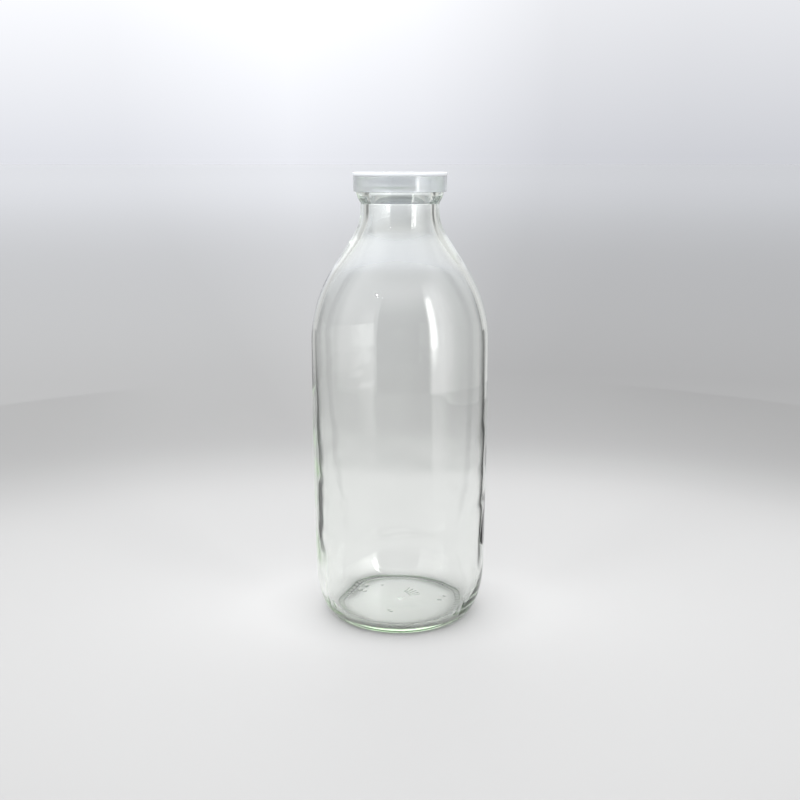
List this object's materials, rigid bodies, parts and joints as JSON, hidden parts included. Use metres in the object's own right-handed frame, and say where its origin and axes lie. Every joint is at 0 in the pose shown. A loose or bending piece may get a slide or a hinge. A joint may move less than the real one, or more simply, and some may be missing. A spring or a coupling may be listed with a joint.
{
  "type": "milk bottle",
  "caption": "Glass milk bottle: round body, long sloping shoulder, short neck with a beaded mouth, heavy base, and a push-on white plastic cap that lifts off.",
  "frame": {"origin": "centre of the bottle on the surface it stands on", "axes": "+Z along the bottle's axis, from the base to the cap; the bottle is turned, so +X and +Y are alike"},
  "size_m": [0.0886, 0.0886, 0.2247],
  "materials": {
    "bottle_glass": "clear soda-lime glass, faintly green, fire-polished, slightly uneven inside",
    "cap_plastic": "white, slightly see-through polyethylene with a satin surface"
  },
  "bodies": {
    "bottle": {"glass_bottle": "bottle_glass"},
    "cap": {"snap_cap": "cap_plastic"}
  },
  "joints": [
    {"name": "cap_lift", "type": "slide", "parent": "bottle", "child": "cap", "axis": [0, 0, 1], "range_m": [0, 0.04]}
  ]
}
